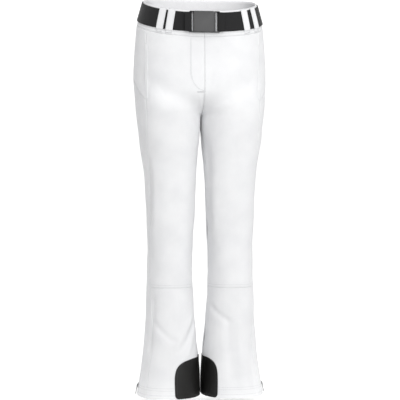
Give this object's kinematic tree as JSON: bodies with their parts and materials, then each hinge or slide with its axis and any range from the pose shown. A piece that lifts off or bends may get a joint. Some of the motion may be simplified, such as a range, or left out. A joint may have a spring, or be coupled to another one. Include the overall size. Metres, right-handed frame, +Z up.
{
  "type": "ski pants",
  "caption": "Flared ski pants with a wide elastic belt and side-release buckle, belt loops, fly, side pocket zips, hem side zips, scuff guards and snow gaiters.",
  "frame": {"origin": "middle of the waist opening", "axes": "+Z up along the body, -Y to the front, +X to the wearer's left"},
  "size_m": [0.3592, 0.2329, 1.0869],
  "materials": {
    "softshell": "matte white stretch softshell with a fine twill face",
    "lining": "light grey brushed lining cloth",
    "belt_webbing": "black ribbed elastic webbing",
    "scuff_guard": "black coated abrasion-proof cloth, semi-gloss",
    "zip_tape": "woven zip tape with moulded teeth",
    "zip_metal": "satin cast metal",
    "puller_plastic": "cord pull with a moulded end",
    "buckle_satin": "satin dark grey moulded plastic",
    "buckle_plastic": "black moulded plastic"
  },
  "bodies": {
    "pants": {"back_panel_left": "softshell", "back_panel_right": "softshell", "back_yoke_left": "softshell", "back_yoke_right": "softshell", "belt_front_left": "belt_webbing", "belt_loop_left_back": "softshell", "belt_loop_left_front": "softshell", "belt_loop_left_side": "softshell", "belt_loop_right_back": "softshell", "belt_loop_right_front": "softshell", "belt_loop_right_side": "softshell", "belt_webbing": "belt_webbing", "buckle_cover": "buckle_satin", "buckle_housing": "buckle_plastic", "care_label": "lining", "fly_facing": "softshell", "fly_guard": "softshell", "fly_zip_tape": "zip_tape", "fly_zip_teeth": "zip_tape", "front_panel_left": "softshell", "front_panel_right": "softshell", "hanger_loop_left": "lining", "hanger_loop_right": "lining", "hem_facing_left": "softshell", "hem_facing_right": "softshell", "hem_zip_gusset_left": "lining", "hem_zip_gusset_right": "lining", "hem_zip_tape_left": "zip_tape", "hem_zip_tape_right": "zip_tape", "hem_zip_teeth_left": "zip_tape", "hem_zip_teeth_right": "zip_tape", "pocket_bag_left": "lining", "pocket_bag_right": "lining", "pocket_zip_left": "zip_tape", "pocket_zip_right": "zip_tape", "scuff_guard_left": "scuff_guard", "scuff_guard_right": "scuff_guard", "shin_panel_left": "softshell", "shin_panel_right": "softshell", "side_panel_left": "softshell", "side_panel_right": "softshell", "snow_gaiter_left": "lining", "snow_gaiter_right": "lining", "waist_snap_cap": "zip_metal", "waist_snap_socket": "zip_metal", "waistband_left": "softshell", "waistband_lining": "lining", "waistband_right": "softshell", "waistband_tab": "softshell"},
    "buckle_tongue": {"buckle_tongue": "buckle_satin"},
    "buckle_arm_upper": {"buckle_arm_upper": "buckle_plastic"},
    "buckle_arm_lower": {"buckle_arm_lower": "buckle_plastic"},
    "fly_slider": {"fly_zip_slider": "zip_metal", "fly_zip_puller": "zip_metal"},
    "pocket_slider_left": {"pocket_zip_slider_left": "zip_metal"},
    "pocket_slider_right": {"pocket_zip_slider_right": "zip_metal"},
    "hem_slider_left": {"hem_zip_slider_left": "zip_metal"},
    "hem_slider_right": {"hem_zip_slider_right": "zip_metal"},
    "hem_puller_left": {"hem_zip_puller_left": "puller_plastic"},
    "hem_puller_right": {"hem_zip_puller_right": "puller_plastic"}
  },
  "joints": [
    {"name": "tongue_slide", "type": "slide", "parent": "pants", "child": "buckle_tongue", "axis": [1, 0, 0], "range_m": [0, 0.04], "deforming": ["belt_front_left"]},
    {"name": "arm_upper_flex", "type": "hinge", "parent": "buckle_tongue", "child": "buckle_arm_upper", "pos_m": [0.02, -0.1042, -0.0467], "axis": [0, -1, 0], "range_deg": [0, 8], "stiffness_Nm_per_rad": 0.4},
    {"name": "arm_lower_flex", "type": "hinge", "parent": "buckle_tongue", "child": "buckle_arm_lower", "pos_m": [0.02, -0.1042, -0.078], "axis": [0, 1, 0], "range_deg": [0, 8], "stiffness_Nm_per_rad": 0.4},
    {"name": "fly_slide", "type": "slide", "parent": "pants", "child": "fly_slider", "axis": [0, -0.0705, -0.9975], "range_m": [0, 0.08]},
    {"name": "pocket_travel_left", "type": "hinge", "parent": "pants", "child": "pocket_slider_left", "pos_m": [0.09405, -0.5019, -0.13946], "axis": [-0.9936, 0.1124, -0.0146], "range_deg": [0, 14.57]},
    {"name": "pocket_travel_right", "type": "hinge", "parent": "pants", "child": "pocket_slider_right", "pos_m": [-0.09405, -0.5019, -0.13946], "axis": [-0.9936, -0.1124, 0.0146], "range_deg": [0, 14.57]},
    {"name": "hem_travel_left", "type": "hinge", "parent": "pants", "child": "hem_slider_left", "pos_m": [1.59258, -0.23708, -0.78116], "axis": [0.1632, 0.9866, 0.0077], "range_deg": [0, 8.91]},
    {"name": "hem_puller_swing_left", "type": "hinge", "parent": "hem_slider_left", "child": "hem_puller_left", "pos_m": [0.17055, 0.00038, -1.02537], "axis": [-0.1632, -0.9866, -0.0077], "range_deg": [0, 150]},
    {"name": "hem_travel_right", "type": "hinge", "parent": "pants", "child": "hem_slider_right", "pos_m": [-1.59258, -0.23708, -0.78116], "axis": [0.1632, -0.9866, -0.0077], "range_deg": [0, 8.91]},
    {"name": "hem_puller_swing_right", "type": "hinge", "parent": "hem_slider_right", "child": "hem_puller_right", "pos_m": [-0.17055, 0.00038, -1.02537], "axis": [-0.1632, 0.9866, 0.0077], "range_deg": [0, 150]}
  ]
}
